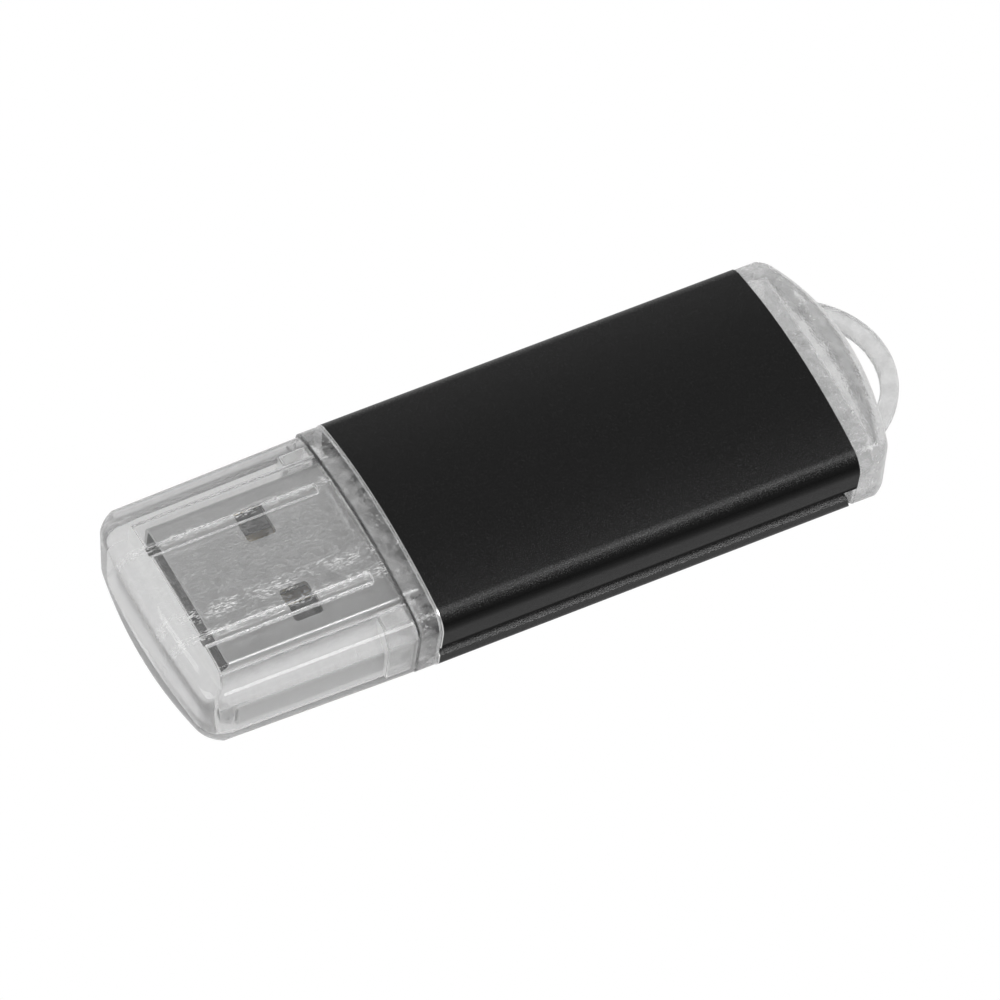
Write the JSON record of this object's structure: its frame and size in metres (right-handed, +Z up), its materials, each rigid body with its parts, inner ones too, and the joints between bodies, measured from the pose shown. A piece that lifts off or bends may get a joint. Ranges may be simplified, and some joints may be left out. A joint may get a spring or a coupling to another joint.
{
  "type": "usb flash drive",
  "caption": "USB-A flash drive with a black aluminium sleeve, a clear pull-off cap over the plug and a clear end piece with a lanyard loop.",
  "frame": {"origin": "middle of the flat land on the underside of the sleeve", "axes": "+X along the stick out of the plug, +Y towards the left flank seen from behind, +Z up through the domed top"},
  "size_m": [0.0526, 0.0178, 0.0072],
  "materials": {
    "clear_cap": "clear moulded plastic, polished",
    "clear_body": "clear moulded plastic, slightly milky",
    "anodised_aluminium": "bead-blasted, black anodised, bright cut front edge",
    "plated_steel": "nickel plated, satin",
    "insulator": "moulded, black",
    "gold_contact": "gold flash",
    "solder": "reflowed",
    "solder_mask": "solder mask over laminate",
    "chip_mould": "moulded epoxy",
    "tinned_lead": "matt tin",
    "chip_ceramic": "fired ceramic",
    "led_resin": "cast resin"
  },
  "bodies": {
    "stick": {"sleeve": "anodised_aluminium", "carrier": "clear_body", "end_piece": "clear_body", "plug_shell": "plated_steel", "plug_tongue": "insulator", "contact_vbus": "gold_contact", "contact_data_minus": "gold_contact", "contact_data_plus": "gold_contact", "contact_ground": "gold_contact", "contact_solder": "solder", "shell_solder": "solder", "circuit_board": "solder_mask", "copper_pads": "gold_contact", "flash_chip": "chip_mould", "flash_leads": "tinned_lead", "controller_chip": "chip_mould", "controller_leads": "tinned_lead", "crystal_base": "chip_ceramic", "crystal_can": "plated_steel", "capacitor_bodies": "chip_ceramic", "capacitor_terminals": "tinned_lead", "resistor_bodies": "chip_mould", "resistor_terminals": "tinned_lead", "led_base": "chip_ceramic", "led_lens": "led_resin"},
    "cap": {"cap": "clear_cap"}
  },
  "joints": [
    {"name": "cap_pull", "type": "slide", "parent": "stick", "child": "cap", "axis": [1, 0, 0], "range_m": [0, 0.02]}
  ]
}
